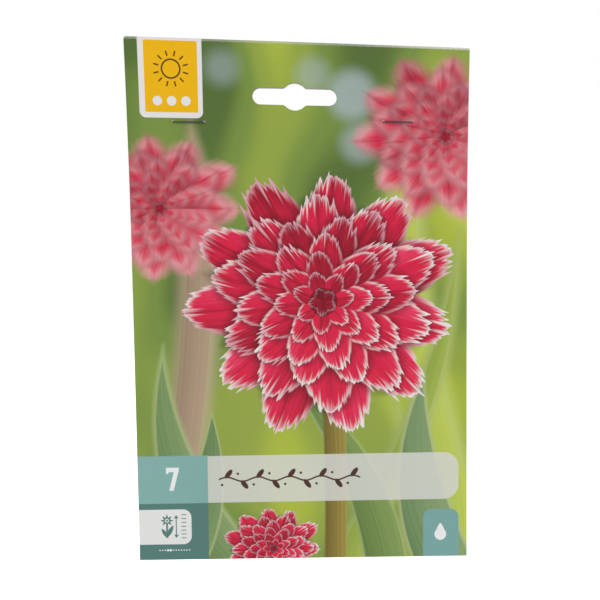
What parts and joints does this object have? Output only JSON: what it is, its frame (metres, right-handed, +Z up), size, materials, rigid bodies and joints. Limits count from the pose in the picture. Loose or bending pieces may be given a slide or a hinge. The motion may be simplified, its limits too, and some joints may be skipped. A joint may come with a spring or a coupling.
{
  "type": "flower bulb packet",
  "caption": "Hanging retail packet of flower bulbs: printed card folded over at the top with a euro slot, clear film bag stapled behind it, bulbs inside.",
  "frame": {"origin": "middle of the hanging slot, halfway through the doubled card", "axes": "+Z up along the card's height, +X to the right as the printed front is seen, -Y out of the printed front"},
  "size_m": [0.13, 0.0518, 0.2],
  "materials": {
    "printed_board": "satin",
    "clear_film": "gloss",
    "staple_wire": "satin",
    "bulb_tunic": "satin"
  },
  "bodies": {
    "root": {"printed_card": "printed_board", "film_bag": "clear_film", "staple_left": "staple_wire", "staple_right": "staple_wire", "bulb_1": "bulb_tunic", "bulb_2": "bulb_tunic", "bulb_3": "bulb_tunic", "bulb_4": "bulb_tunic", "bulb_5": "bulb_tunic", "bulb_6": "bulb_tunic", "bulb_7": "bulb_tunic"}
  },
  "joints": []
}
